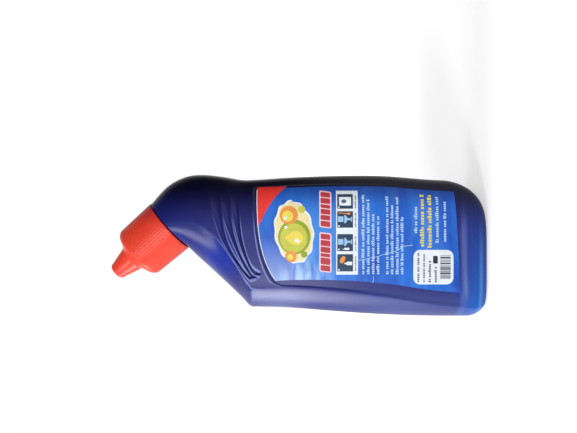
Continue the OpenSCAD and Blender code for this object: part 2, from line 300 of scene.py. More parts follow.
def corner(before, at, after, steps):
    """A rounded corner: points on the curve from before to after that bends towards at."""
    points = []
    for i in range(steps + 1):
        s = i / steps
        points.append(
            tuple(before[k] * (1 - s) ** 2 + 2 * at[k] * s * (1 - s) + after[k] * s * s for k in (0, 1))
        )
    return points


def half_section(r):
    """Half of a section as (share of the rung, depth), from the grip side to the lean side."""
    turn = math.acos((2 * FACE_EDGE - 1) ** (r.square / 2))
    points = []
    for i in range(EDGE_STEPS):
        u = 0.5 + 0.5 * math.cos(turn * i / EDGE_STEPS) ** (2 / r.square)
        points.append((u, r.dome(u)))
    ridge = smoothstep(*RIDGE_GROWS, r.t) * (1 - smoothstep(*RIDGE_FADES, r.t))
    face_end = mix(*RIDGE_FACE, ridge)
    bevel_start = mix(*RIDGE_BEVEL, ridge)
    grip_edge, crease_edge = 0.98, 0.06
    shares = [1 - 0.0025 * i for i in range(8)]
    shares += [mix(grip_edge, crease_edge, i / 60) for i in range(61)]
    shares += [mix(crease_edge, face_end, i / 13) for i in range(1, 14)]
    for f in shares:
        u = r.on_face(f)
        points.append((u, face_depth(r, u)))
    crease_depth = r.dome(r.crease)

    def bevel(s):
        """From the crease to the lean side: a soft curve low down, a quarter round at the neck."""
        flat = ((1 - s) ** 2, (1 - s) ** 2 + s * (1 - s))
        quarter = (1 - math.sin(0.5 * math.pi * s), math.cos(0.5 * math.pi * s))
        x, y = (mix(a, b, r.roundness) for a, b in zip(flat, quarter))
        return (r.crease * x, crease_depth * y)

    u = r.on_face(face_end - 0.004)
    points += corner((u, r.dome(u)), (r.crease, crease_depth), bevel(bevel_start), CREASE_STEPS)
    points += [bevel(mix(bevel_start, 1, i / BEVEL_STEPS)) for i in range(1, BEVEL_STEPS + 1)]
    return points


def ring(t, inset=0.0, raised=0.0):
    """A whole section at rung t, drawn in by an inset and raised by a height."""
    r = Rung(t, inset)
    half = half_section(r)
    points = [r.point(u, d, -1) for u, d in half]
    points += [r.point(u, d, 1) for u, d in half[-2:0:-1]]
    lift = Vector((0, 0, raised))
    return [p + lift for p in points]


def neck_point(radius, height, angle):
    """A point of the neck's frame: angle 0 is the grip side, 90 the front."""
    at = NECK_CENTRE + NECK_UP * height + NECK_ACROSS * (radius * math.cos(angle))
    return Vector((at.x, -radius * math.sin(angle), at.y))


def neck_ring(radius, height, angles):
    return [neck_point(radius, height, a) for a in angles]


# Mesh helpers


def new_object(name, points, faces, material, smooth=True, sharp_angle=None):
    mesh = bpy.data.meshes.new(name)
    mesh.from_pydata([to_metres(p) for p in points], [], faces)
    mesh.validate()
    mesh.update()
    obj = bpy.data.objects.new(name, mesh)
    bpy.context.scene.collection.objects.link(obj)
    mesh.materials.append(material)
    if smooth:
        mesh.shade_smooth()
    if sharp_angle is not None:
        mesh.set_sharp_from_angle(angle=math.radians(sharp_angle))
    return obj


def loft(name, rings, material, sharp_angle):
    """A skin through rings of equal length, closed at both ends."""
    n = len(rings[0])
    points = [p for r in rings for p in r]
    faces = []
    for j in range(len(rings) - 1):
        for i in range(n):
            a, b = j * n + i, j * n + (i + 1) % n
            faces.append((a, a + n, b + n, b))
    faces.append(tuple(range(n)))
    faces.append(tuple((len(rings) - 1) * n + i for i in range(n - 1, -1, -1)))
    return new_object(name, points, faces, material, sharp_angle=sharp_angle)


# Materials


def srgb(red, green, blue):
    def linear(v):
        v /= 255
        return v / 12.92 if v <= 0.04045 else ((v + 0.055) / 1.055) ** 2.4

    return (linear(red), linear(green), linear(blue), 1.0)


class Nodes:
    """A short way to build a node tree."""

    def __init__(self, tree):
        self.tree = tree

    def add(self, kind, **values):
        node = self.tree.nodes.new(kind)
        for key, value in values.items():
            setattr(node, key, value)
        return node

    def link(self, output, target):
        self.tree.links.new(output, target)

    def place(self):
        return self.add("ShaderNodeTexCoord").outputs["Object"]

    def noise(self, scale, detail, roughness=0.5, at=None):
        node = self.add("ShaderNodeTexNoise")
        node.inputs["Scale"].default_value = scale
        node.inputs["Detail"].default_value = detail
        node.inputs["Roughness"].default_value = roughness
        self.link(at or self.place(), node.inputs["Vector"])
        return node.outputs["Fac"]

    def ramp(self, value, low, high, a, b):
        """Colour a below low, colour b above high."""
        node = self.add("ShaderNodeValToRGB")
        node.color_ramp.elements[0].position = low
        node.color_ramp.elements[0].color = a
        node.color_ramp.elements[1].position = high
        node.color_ramp.elements[1].color = b
        self.link(value, node.inputs["Fac"])
        return node.outputs["Color"]

    def blend(self, factor, a, b):
        node = self.add("ShaderNodeMix", data_type="RGBA")
        for socket, value in ((node.inputs[0], factor), (node.inputs[6], a), (node.inputs[7], b)):
            if isinstance(value, (float, tuple)):
                socket.default_value = value
            else:
                self.link(value, socket)
        return node.outputs[2]

    def scaled(self, value, low, high):
        node = self.add("ShaderNodeMapRange")
        node.inputs["To Min"].default_value = low
        node.inputs["To Max"].default_value = high
        self.link(value, node.inputs["Value"])
        return node.outputs["Result"]

    def near(self, point, inner, outer):
        """1 within the inner distance of a point, 0 beyond the outer one; sizes in millimetres."""
        node = self.add("ShaderNodeVectorMath", operation="DISTANCE")
        self.link(self.place(), node.inputs[0])
        node.inputs[1].default_value = to_metres(point)
        return self.between(node.outputs["Value"], inner * 0.001, outer * 0.001, 1.0, 0.0)

    def between(self, value, low, high, at_low=0.0, at_high=1.0):
        node = self.add("ShaderNodeMapRange", interpolation_type="SMOOTHSTEP")
        node.inputs["From Min"].default_value = low
        node.inputs["From Max"].default_value = high
        node.inputs["To Min"].default_value = at_low
        node.inputs["To Max"].default_value = at_high
        self.link(value, node.inputs["Value"])
        return node.outputs["Result"]

    def along(self, axis, low, high):
        """0 below low, 1 above high on the axis "X", "Y" or "Z"; sizes in millimetres."""
        node = self.add("ShaderNodeSeparateXYZ")
        self.link(self.place(), node.inputs[0])
        return self.between(node.outputs[axis], low * 0.001, high * 0.001)

    def calculate(self, operation, a, b):
        node = self.add("ShaderNodeMath", operation=operation)
        for socket, value in zip(node.inputs, (a, b)):
            if isinstance(value, float):
                socket.default_value = value
            else:
                self.link(value, socket)
        return node.outputs[0]

    def product(self, *values):
        result = values[0]
        for value in values[1:]:
            result = self.calculate("MULTIPLY", result, value)
        return result

    def streaks(self, turn, stretch, scale):
        """Noise drawn out along one direction of the front, turned by so many degrees."""
        node = self.add("ShaderNodeMapping")
        node.inputs["Rotation"].default_value = (0, math.radians(turn), 0)
        node.inputs["Scale"].default_value = (1, 1, stretch)
        self.link(self.place(), node.inputs["Vector"])
        return self.noise(scale, 4.0, 0.55, node.outputs["Vector"])

    def mirrored(self):
        """1 for rays that reach a surface in a reflection or through something clear."""
        path = self.add("ShaderNodeLightPath").outputs
        return self.calculate("MAXIMUM", path["Is Glossy Ray"], path["Is Transmission Ray"])

    def to_camera(self):
        return self.add("ShaderNodeLightPath").outputs["Is Camera Ray"]


class Surface(Nodes):
    """The nodes of one new material with a Principled shader."""

    def __init__(self, name):
        self.material = bpy.data.materials.new(name)
        self.material.use_nodes = True
        super().__init__(self.material.node_tree)
        self.shader = self.tree.nodes["Principled BSDF"]

    def bump(self, height, distance, strength):
        node = self.add("ShaderNodeBump")
        node.inputs["Strength"].default_value = strength
        node.inputs["Distance"].default_value = distance
        self.link(height, node.inputs["Height"])
        self.link(node.outputs["Normal"], self.shader.inputs["Normal"])

    def set(self, **values):
        for key, value in values.items():
            socket = self.shader.inputs[key.replace("_", " ")]
            if isinstance(value, (int, float, tuple)):
                socket.default_value = value
            else:
                self.link(value, socket)


def bottle_plastic():
    """Dark blue blown plastic, with painted light where light would shine through the liquid at the heel,
    the bevel and the shoulder, and painted highlights and shade.
    """
    lean_shoulder, lit_shoulder, grooved = (-24, -14, 99), (-6, -14, 127), (-6, -16, 117)
    n = Surface("bottle_plastic")
    colour = n.ramp(n.noise(35, 3), 0.35, 0.7, srgb(20, 27, 100), srgb(25, 33, 112))
    # Painted light: the lean side's bevel is lighter, as if lit from the left and through the plastic
    bevel = n.product(n.along("X", -18, -26), n.along("Z", 100, 40))
    colour = n.blend(bevel, colour, srgb(48, 58, 122))
    # Painted highlight: a pale band along the ledge under the panel
    ledge_highlight = n.product(n.along("Z", 10.0, 12.0), n.along("Z", 14.6, 12.6), n.along("X", 26, 6), 0.5)
    colour = n.blend(ledge_highlight, colour, srgb(84, 98, 168))
    # Painted highlight: a pale lavender patch on the upper bevel by the shoulder corner
    bevel_highlight = n.product(n.near(lean_shoulder, 2, 20), n.along("X", -19, -23), 0.7)
    colour = n.blend(bevel_highlight, colour, srgb(96, 104, 150))
    # Painted light: the heel is a brighter blue, as if light shone through the liquid
    heel = n.product(n.along("Z", 17, 5), n.along("X", 26, -30))
    colour = n.blend(heel, colour, srgb(22, 84, 172))
    # Painted light: a brighter blue patch on the shoulder, as if light shone through
    colour = n.blend(n.product(n.near(lit_shoulder, 2, 15), 0.9), colour, srgb(12, 38, 138))
    # Painted highlights on the crests between the grooves, and painted shade in the valleys
    bend = n.add("ShaderNodeNewGeometry").outputs["Pointiness"]
    grooves = n.product(n.near(grooved, 8, 30), n.along("X", 22, 8))
    crest_highlights = n.product(n.between(bend, 0.503, 0.51), grooves, 0.8)
    valley_shade = n.product(n.between(bend, 0.492, 0.4995, 1.0, 0.0), grooves, 0.7)
    colour = n.blend(crest_highlights, colour, srgb(124, 134, 190))
    colour = n.blend(valley_shade, colour, srgb(8, 10, 62))
    # Painted highlight: a pale line round the heel
    heel_highlight_line = n.product(n.along("Z", 2.4, 3.6), n.along("Z", 5.6, 4.2), n.along("X", 20, -20), 0.6)
    colour = n.blend(heel_highlight_line, colour, srgb(84, 140, 205))
    # Painted shade: the grip side darkens to near black, away from the lamps
    colour = n.blend(n.along("X", 6, 31), colour, srgb(4, 2, 26))
    n.set(
        Base_Color=colour,
        Roughness=n.scaled(n.noise(60, 2), 0.27, 0.36),
        IOR=1.5,
        Specular_IOR_Level=0.3,
    )
    n.bump(n.noise(520, 3), 0.00005, 0.35)
    return n.material


def cap_plastic():
    n = Surface("cap_plastic")
    colour = n.ramp(n.noise(60, 3), 0.3, 0.75, srgb(210, 56, 36), srgb(222, 66, 44))
    # Painted shade: the cap darkens towards the grip side, away from the lamps
    colour = n.blend(n.along("X", 8, 22), colour, srgb(160, 30, 34))
    n.set(
        Base_Color=colour,
        Roughness=n.scaled(n.noise(90, 2), 0.28, 0.38),
        IOR=1.49,
        Specular_IOR_Level=0.3,
    )
    n.bump(n.noise(1200, 3), 0.00003, 0.5)
    return n.material


def plug_plastic():
    n = Surface("plug_plastic")
    n.set(
        Base_Color=n.ramp(n.noise(50, 2), 0.3, 0.7, srgb(226, 226, 214), srgb(238, 238, 228)),
        Roughness=n.scaled(n.noise(80, 2), 0.4, 0.52),
        Subsurface_Weight=0.15,
        Subsurface_Scale=0.002,
    )
    n.bump(n.noise(900, 2), 0.00003, 0.4)
    return n.material


def liquid():
    n = Surface("cleaner_liquid")
    colour = n.ramp(n.noise(20, 2), 0.3, 0.7, srgb(20, 60, 170), srgb(30, 80, 190))
    n.set(Base_Color=colour, Roughness=0.05)
    return n.material


def label_film():
    """Glossy film printed in watery blues, with a painted reflection at its upper left and painted shade
    towards the grip side.
    """
    middle, upper_left, left, lower = (4, -18, 76), (-18, -18, 104), (-18, -18, 88), (8, -18, 46)
    n = Surface("label_film")
    colour = n.ramp(n.streaks(20, 3.5, 24), 0.34, 0.68, srgb(24, 72, 168), srgb(38, 120, 216))
    colour = n.blend(n.product(n.near(middle, 4, 26), 0.55), colour, srgb(74, 146, 218))
    # Painted reflection: a pale lavender haze at the upper left
    colour = n.blend(n.product(n.near(upper_left, 6, 26), 0.85), colour, srgb(116, 134, 196))
    cloud = n.product(n.near(left, 2, 20), n.between(n.streaks(-14, 5, 42), 0.4, 0.62))
    colour = n.blend(cloud, colour, srgb(160, 194, 226))
    swirl = n.product(n.near(lower, 10, 34), n.between(n.streaks(-32, 4, 30), 0.52, 0.66))
    colour = n.blend(n.product(swirl, 0.5), colour, srgb(86, 130, 200))
    # Painted shade: the film darkens towards the grip side
    colour = n.blend(n.product(n.along("X", 17, 29), 0.8), colour, srgb(24, 52, 124))
    n.set(
        Base_Color=colour,
        Roughness=n.scaled(n.noise(70, 2), 0.26, 0.36),
        IOR=1.5,
        Specular_IOR_Level=0.25,
    )
    n.bump(n.noise(240, 2), 0.00006, 0.5)
    return n.material


def darkened(colour, share):
    return tuple(c * share for c in colour[:3]) + (1.0,)


def ink(name, colour):
    """A mottled ink with painted shade towards the grip side, as on the film."""
    n = Surface(name)
    mottled = n.ramp(n.noise(160, 3), 0.35, 0.7, darkened(colour, 0.9), colour)
    n.set(
        # Painted shade towards the grip side
        Base_Color=n.blend(n.product(n.along("X", 20, 31), 0.7), mottled, darkened(colour, 0.5)),
        Roughness=n.scaled(n.noise(70, 2), 0.28, 0.38),
        IOR=1.5,
        Specular_IOR_Level=0.25,
    )
    return n.material


BOTTLE_PLASTIC = bottle_plastic()
CAP_PLASTIC = cap_plastic()
PLUG_PLASTIC = plug_plastic()
LABEL_FILM = label_film()
LIQUID = liquid()
INKS = {
    "white": ink("ink_white", srgb(224, 230, 234)),
    "cream": ink("ink_cream", srgb(228, 214, 158)),
    "pale": ink("ink_pale", srgb(176, 204, 236)),
    "red": ink("ink_red", srgb(226, 52, 44)),
    "maroon": ink("ink_maroon", srgb(178, 52, 62)),
    "blush": ink("ink_blush", srgb(232, 196, 204)),
    "green": ink("ink_green", srgb(140, 160, 44)),
    "lime": ink("ink_lime", srgb(190, 192, 72)),
    "yellow": ink("ink_yellow", srgb(226, 208, 84)),
    "orange": ink("ink_orange", srgb(224, 142, 66)),
    "slate": ink("ink_slate", srgb(40, 62, 86)),
    "sky": ink("ink_sky", srgb(150, 192, 226)),
    "grey": ink("ink_grey", srgb(86, 96, 110)),
    "black": ink("ink_black", srgb(40, 44, 54)),
}


# The bottle


def skin_rungs():
    """Rungs of the visible skin: fine round the heel and across the grooves."""
    heel_end, grooves_start, grooves_end = 0.6, 4.0, 8.0
    rungs = [heel_end * (i / 30) ** 1.6 for i in range(31)]
    rungs += [mix(heel_end, grooves_start, i / 44) for i in range(1, 45)]
    rungs += [mix(grooves_start, grooves_end, i / 160) for i in range(1, 161)]
    rungs += [mix(grooves_end, LAST, i / 36) for i in range(1, 37)]
    return rungs


def base_rings(inset):
    """The pushed-up base, from its middle out to the foot ring."""
    foot = [(4.0, 1.0), (3.2, 0.97), (2.4, 0.88), (1.2, 0.6), (0.5, 0.25), (0.0, 0.0)]
    return [ring(0, FOOT_RING + across, inset + PUSH_UP * up) for across, up in foot]


def make_bottle():
    """The whole wall as one skin: up the outside, over the neck's mouth and down the inside."""
    rings = base_rings(0) + [ring(t) for t in skin_rungs()]
    landing = rings[-1]
    centre = sum(landing, Vector()) / len(landing)
    angles = []
    for p in landing:
        v = p - centre
        across = v.x * NECK_ACROSS.x + v.z * NECK_ACROSS.y
        angles.append(math.atan2(-v.y, across))
    profile = [
        (LAND_R - 0.12, 0.1), (LAND_R - 0.45, 0.2), (NECK_R + 0.9, 0.32), (NECK_R + 0.4, 0.45),
        (NECK_R + 0.1, 0.7), (NECK_R, 1.0), (NECK_R, 8.0), (NECK_R, NECK_LENGTH - 0.8),
        (NECK_R - 0.1, NECK_LENGTH - 0.35), (NECK_R - 0.4, NECK_LENGTH - 0.08), (NECK_R - 0.8, NECK_LENGTH),
        (BORE_R + 0.2, NECK_LENGTH), (BORE_R, NECK_LENGTH - 0.2), (BORE_R, 8.0), (BORE_R, -1.2),
    ]
    rings += [neck_ring(r, h, angles) for r, h in profile]
    inner = [LAST - 0.12] + [mix(10.6, 0.5, i / 40) for i in range(41)] + [0.3, 0.16, 0.08]
    rings += [ring(t, WALL) for t in inner]
    rings += [ring(0, WALL, raised=WALL)]
    rings += base_rings(WALL)[::-1]
    obj = loft("bottle_skin", rings, BOTTLE_PLASTIC, sharp_angle=50)
    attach(obj, "bottle")
    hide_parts("bottle")


def make_thread():
    """The neck's outer thread: a low ridge that fades in and out."""
    per_turn = 96
    fade_steps = 14
    root_half, flank_half, crest_half = 1.15, 0.62, 0.3
    root = NECK_R - 0.3
    steps = int(per_turn * THREAD_TURNS)
    start = NECK_LENGTH - 2.5 - THREAD_TURNS * THREAD_PITCH
    rings = []
    for i in range(steps + 1):
        angle = 2 * math.pi * i / per_turn
        fade = min(1.0, i / fade_steps, (steps - i) / fade_steps)
        crest = NECK_R + (THREAD_R - NECK_R) * fade
        flank = mix(NECK_R, crest, 0.7)
        z = start + THREAD_PITCH * i / per_turn
        section = [
            (root, -root_half), (flank, -flank_half), (crest, -crest_half),
            (crest, crest_half), (flank, flank_half), (root, root_half),
        ]
        rings.append([neck_point(r, z + h, -angle) for r, h in section])
    obj = loft("neck_thread", rings, BOTTLE_PLASTIC, sharp_angle=50)
    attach(obj, "bottle")


def dress_node(node, material):
    """Gives a node's own mesh a material and leaves its shape alone."""
    mesh = NODES[node].data
    mesh.materials.clear()
    mesh.materials.append(material)


make_bottle()
make_thread()
dress_node("nozzle_insert", PLUG_PLASTIC)
dress_node("cleaner_fill", LIQUID)


# The cap


def cap_profile():
    """The cap's outside from its rim to the nipple's tip: radius, height and share of the ribs' depth."""
    rim_z = CAP_GAP + 0.35
    edge_z = CAP_GAP + SKIRT_LENGTH - CAP_EDGE_R
    dome_z = CAP_GAP + SKIRT_LENGTH + CAP_DOME
    tip_z = CAP_GAP + SKIRT_LENGTH + NIPPLE_HEIGHT
    corner_r = CAP_TOP_R - CAP_EDGE_R
    points = [(CAP_R - 0.35, CAP_GAP, 0), (CAP_R - 0.1, CAP_GAP + 0.1, 0), (CAP_R, rim_z, 0.4)]
    for i in range(1, 13):
        points.append((mix(CAP_R, CAP_TOP_R, i / 12), mix(rim_z, edge_z, i / 12), 1))
    for i in range(1, 9):
        a = math.radians(75 * i / 8)
        ribs = 1 - smoothstep(1, 5, i)
        points.append((corner_r + CAP_EDGE_R * math.cos(a), edge_z + CAP_EDGE_R * math.sin(a), ribs))
    base_r, end_r = NIPPLE_R
    foot_r, foot_z = base_r + 0.08, dome_z + 0.7
    dome_r, dome_end = base_r + 1.4, dome_z - 1
    last_r, last_z, _ = points[-1]
    foot = [
        (mix(last_r, dome_r, 0.5), mix(last_z, dome_end, 0.5)), (dome_r, dome_end),
        (base_r + 0.8, dome_z - 0.62), (base_r + 0.38, dome_z - 0.1), (foot_r, foot_z),
    ]
    points += [(r, z, 0) for r, z in foot]
    for i in range(1, 9):
        points.append((mix(foot_r, end_r, i / 8), mix(foot_z, tip_z - TIP_ROUND, i / 8), 0))
    for i in range(1, 9):
        a = math.radians(88 * i / 8)
        r = end_r - TIP_ROUND * (1 - math.cos(a))
        points.append((r, tip_z - TIP_ROUND * (1 - math.sin(a)), 0))
    return points


def make_cap():
    """The cap as one skin: up the ribbed outside to the nipple's tip, and down the bore inside."""
    count = RIB_COUNT * RIB_STEPS
    angles = [2 * math.pi * i / count for i in range(count)]
    waves = [0.5 - 0.5 * math.cos(2 * math.pi * (i % RIB_STEPS) / RIB_STEPS) for i in range(count)]
    profile = cap_profile()
    rings = []
    for radius, height, ribs in profile:
        rings.append([
            neck_point(radius - RIB_DEPTH * ribs * wave, height, angle)
            for angle, wave in zip(angles, waves)
        ])
    ceiling = NECK_LENGTH + 1.4
    dome_z = CAP_GAP + SKIRT_LENGTH + CAP_DOME
    tip_z = CAP_GAP + SKIRT_LENGTH + NIPPLE_HEIGHT - CAP_WALL
    bore = THREAD_R + 0.2
    base_r, end_r = (r - CAP_WALL for r in NIPPLE_R)
    inside = [
        (end_r - 1.0, tip_z), (end_r, tip_z - 1.0), (base_r, dome_z), (base_r + 0.5, ceiling + 0.3),
        (base_r + 0.8, ceiling), (NECK_R - 0.2, ceiling), (bore, ceiling - 1.0), (bore, 12.0),
        (bore, CAP_GAP + 0.8), (bore + 0.4, CAP_GAP),
    ]
    rings += [neck_ring(r, h, angles) for r, h in inside]
    points = [p for r in rings for p in r]
    faces = []
    tip = len(profile) - 1
    for j in range(len(rings)):
        if j == tip:
            continue
        k = (j + 1) % len(rings)
        for i in range(count):
            a, b = i, (i + 1) % count
            faces.append((j * count + a, j * count + b, k * count + b, k * count + a))
    faces.append(tuple(tip * count + i for i in range(count)))
    faces.append(tuple((tip + 1) * count + i for i in range(count - 1, -1, -1)))
    obj = new_object("screw_cap", points, faces, CAP_PLASTIC, sharp_angle=50)
    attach(obj, "cap")
    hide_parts("cap")


make_cap()


# The label and its print


def label_left(v):
    """Share of the face at the label's left edge, at share v of the label's height."""
    return mix(*LABEL_LEFT, smoothstep(0.25, 1, v))


def lifted(x, z):
    """How far the film's lower corner curls off the panel near (x, z)."""
    away = math.hypot(x - LABEL_CORNER[0], z - LABEL_CORNER[1])
    return CORNER_LIFT * (1 - smoothstep(0, CORNER_REACH, away))


def make_label():
    """The film as a thin closed sheet on the sunk panel."""
    columns = 72
    rows = 96
    grids = []
    for height in (LABEL_GAP + LABEL_T, LABEL_GAP):
        grid = []
        for j in range(rows + 1):
            v = j / rows
            for i in range(columns + 1):
                f = mix(label_left(v), LABEL_RIGHT, i / columns)
                t = label_rung(f, v)
                r = Rung(t)
                u = r.on_face(f)
                p = r.point(u, r.dome(u) - sunk(t, f) + height, -1)
                p.y -= lifted(p.x, p.z)
                grid.append(p)
        grids.append(grid)
    width = columns + 1
    count = len(grids[0])
    faces = []
    for j in range(rows):
        for i in range(columns):
            a = j * width + i
            faces.append((a, a + 1, a + width + 1, a + width))
            faces.append((count + a, count + a + width, count + a + width + 1, count + a + 1))
    border = list(range(width))
    border += [j * width + columns for j in range(1, rows + 1)]
    border += [rows * width + i for i in range(columns - 1, -1, -1)]
    border += [j * width for j in range(rows - 1, 0, -1)]
    for a, b in zip(border, border[1:] + border[:1]):
        faces.append((b, a, count + a, count + b))
    obj = new_object("label_film", grids[0] + grids[1], faces, LABEL_FILM, sharp_angle=50)
    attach(obj, "bottle")
    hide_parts("front_label")


class LabelFace:
    """Finds the label's outer surface over a point (x, z) of the front."""

    def __init__(self):
        low, high, steps = 0.4, 5.2, 480
        self.rungs = [Rung(mix(low, high, i / steps)) for i in range(steps + 1)]

    def below(self, r, x, z):
        along = r.grip - r.lean
        return along.x * (z - r.lean.y) - along.y * (x - r.lean.x)

    def depth(self, r, x, z):
        along = r.grip - r.lean
        u = ((x - r.lean.x) * along.x + (z - r.lean.y) * along.y) / along.length_squared
        return r.dome(max(0.0, min(1.0, u))) - PANEL_RECESS

    def at(self, x, z, height):
        low, high = 0, len(self.rungs) - 1
        while high - low > 1:
            middle = (low + high) // 2
            if self.below(self.rungs[middle], x, z) > 0:
                low = middle
            else:
                high = middle
        a, b = self.rungs[low], self.rungs[high]
        over, under = self.below(a, x, z), self.below(b, x, z)
        s = over / (over - under)
        depth = mix(self.depth(a, x, z), self.depth(b, x, z), s) + LABEL_GAP + LABEL_T
        return Vector((x, -(depth + lifted(x, z) + height), z))


LABEL_FACE = LabelFace()


def lay(name, outlines, layer, colour, cut=True):
    """Ink fields: closed outlines of (x, z) laid on the label, each a thin closed sheet that follows it."""
    height = INK_STEP * layer
    bm = bmesh.new()
    for outline in outlines:
        bm.faces.new([bm.verts.new((x, 0, z)) for x, z in outline])
    if cut:
        bmesh.ops.triangulate(bm, faces=bm.faces[:])
        xs = [v.co.x for v in bm.verts]
        zs = [v.co.z for v in bm.verts]
        lines = [((x, 0, 0), (1, 0, 0)) for x in CUT_X if min(xs) < x < max(xs)]
        lines += [((0, 0, z), (0, 0, 1)) for z in CUT_Z if min(zs) < z < max(zs)]
        for place, normal in lines:
            whole = bm.verts[:] + bm.edges[:] + bm.faces[:]
            bmesh.ops.bisect_plane(bm, geom=whole, dist=0.0001, plane_co=place, plane_no=normal)
    bm.normal_update()
    bm.verts.index_update()
    flat = [(v.co.x, v.co.z) for v in bm.verts]
    count = len(flat)
    points = [LABEL_FACE.at(x, z, height) for x, z in flat]
    points += [LABEL_FACE.at(x, z, height - INK_T) for x, z in flat]
    faces = []
    for face in bm.faces:
        loop = [v.index for v in face.verts]
        if face.normal.y > 0:
            loop.reverse()
        faces.append(tuple(loop))
        faces.append(tuple(i + count for i in reversed(loop)))
    edges = {edge for face in faces[::2] for edge in zip(face, face[1:] + face[:1])}
    for a, b in sorted(edges):
        if (b, a) not in edges:
            faces.append((b, a, a + count, b + count))
    bm.free()
    obj = new_object(name, points, faces, INKS[colour], sharp_angle=40)
    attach(obj, "bottle")


def box(x0, x1, z0, z1):
    return [(x0, z0), (x1, z0), (x1, z1), (x0, z1)]


def round_box(x0, x1, z0, z1, r, slant=0.0, steps=6):
    outline = []
    corners = ((x1 - r, z0 + r, -90), (x1 - r, z1 - r, 0), (x0 + r, z1 - r, 90), (x0 + r, z0 + r, 180))
    for cx, cz, start in corners:
        for i in range(steps + 1):
            a = math.radians(start + 90 * i / steps)
            z = cz + r * math.sin(a)
            outline.append((cx + r * math.cos(a) + slant * (z - z0), z))
    return outline


def disc(x, z, rx, rz=None, tilt=0.0, count=40, wobble=0.0, waves=3):
    """A disc or an oval, tilted by so many degrees, with a wavy edge where wobble is given."""
    outline = []
    turn = math.radians(tilt)
    across, up = math.cos(turn), math.sin(turn)
    for i in range(count):
        a = 2 * math.pi * i / count
        grow = 1 + wobble * math.cos(waves * a)
        px, pz = rx * grow * math.cos(a), (rz or rx) * grow * math.sin(a)
        outline.append((x + px * across - pz * up, z + px * up + pz * across))
    return outline


def drop(x, z, r, height):
    """An upright drop: a round bottom that runs to a point."""
    count = 32
    outline = []
    for i in range(count):
        a = math.radians(-90) + 2 * math.pi * i / count
        up = math.sin(a)
        pull = max(0.0, up) ** 1.6
        rise = r * up if up < 0 else height * up
        outline.append((x + r * math.cos(a) * (1 - 0.62 * pull), z + rise))
    return outline


def stroke(points, width):
    """A line of even width through points, as one outline."""
    left, right = [], []
    for i, (x, z) in enumerate(points):
        ax, az = points[max(0, i - 1)]
        bx, bz = points[min(len(points) - 1, i + 1)]
        length = math.hypot(bx - ax, bz - az)
        nx, nz = -(bz - az) / length * width / 2, (bx - ax) / length * width / 2
        left.append((x + nx, z + nz))
        right.append((x - nx, z - nz))
    return right + left[::-1]


def line_of_marks(x0, x1, z, height, rng):
    """A line of small print as plain upright marks in groups: it reads as text from a step away only."""
    marks = []
    x = x0
    while x < x1 - height * 0.5:
        for _ in range(rng.choice((2, 3, 4, 5, 6, 7, 8))):
            width = height * rng.uniform(0.34, 0.62)
            tall = height * rng.choice((0.72, 0.72, 0.72, 1.0))
            if x + width > x1:
                return marks
            marks.append(box(x, x + width, z, z + tall))
            x += width + height * 0.2
        x += height * 0.42
    return marks


def label_top_point(f):
    """Where the label's top edge is on the front, at share f of the face."""
    r = Rung(label_rung(f, 1) - INK_INSET)
    at = r.point(r.on_face(f), 0, -1)
    return (at.x, at.z)


def lay_corner():
    """The corner flag, bounded by the top edge and an arc."""
    top = [label_top_point(mix(0.60, 0.96, i / 14)) for i in range(15)]
    side = [(28.55, mix(107.5, 95.6, i / 5)) for i in range(1, 6)]
    arc = [(27.2, 97.2), (25.2, 99.4), (22.6, 101.7), (19.2, 104.0), (15.6, 106.0)]
    lay("print_corner", [top[:-1] + [(28.6, top[-1][1] - 0.35)] + side + arc], 1, "red")


def lay_emblem():
    """Bubbles and a drop on a pale cloud."""
    scallops = {"tilt": 8, "count": 96, "wobble": 0.03, "waves": 11}
    drops = [drop(4.2, 91.3, 3.4, 5.0), disc(14.4, 95.2, 2.6), disc(-4.8, 94.0, 1.4)]
    glints = [disc(2.9, 90.8, 0.8, 1.3, -20), disc(13.5, 96.3, 0.8), disc(9.2, 96.0, 0.7)]
    lay("print_cloud", [disc(7.0, 92.2, 14.8, 9.2, **scallops)], 1, "white")
    lay("print_cloud_core", [disc(7.0, 92.2, 14.0, 8.4, **scallops)], 2, "cream")
    lay("print_bubbles_green", [disc(4.6, 92.0, 8.2, 7.6), disc(-3.6, 87.4, 1.5)], 3, "green")
    lay("print_bubbles_lime", [disc(4.2, 92.3, 6.9, 6.4), disc(17.6, 88.6, 1.7)], 4, "lime")
    lay("print_bubbles_orange", [disc(14.9, 94.6, 4.3), disc(-4.5, 93.6, 2.7)], 4, "orange")
    lay("print_drops", drops, 5, "yellow")
    lay("print_glints", glints, 6, "white")


def lay_headline():
    """Two groups of slanted blocks, each on a pale rim."""
    blocks, rims = [], []
    for x0, widths in ((-11.6, (2.6, 3.1, 1.6, 2.6, 2.7, 2.5)), (9.2, (2.6, 2.3, 2.4, 1.7, 2.6, 2.3))):
        x = x0
        for width in widths:
            blocks.append(round_box(x, x + width, 75.2, 79.7, 0.5, 0.12, 4))
            x += width + 0.45
        rims.append(round_box(x0 - 0.6, x + 0.1, 74.6, 80.3, 0.9, 0.12, 5))
    lay("print_headline_rim", rims, 1, "blush")
    lay("print_headline", blocks, 2, "maroon")


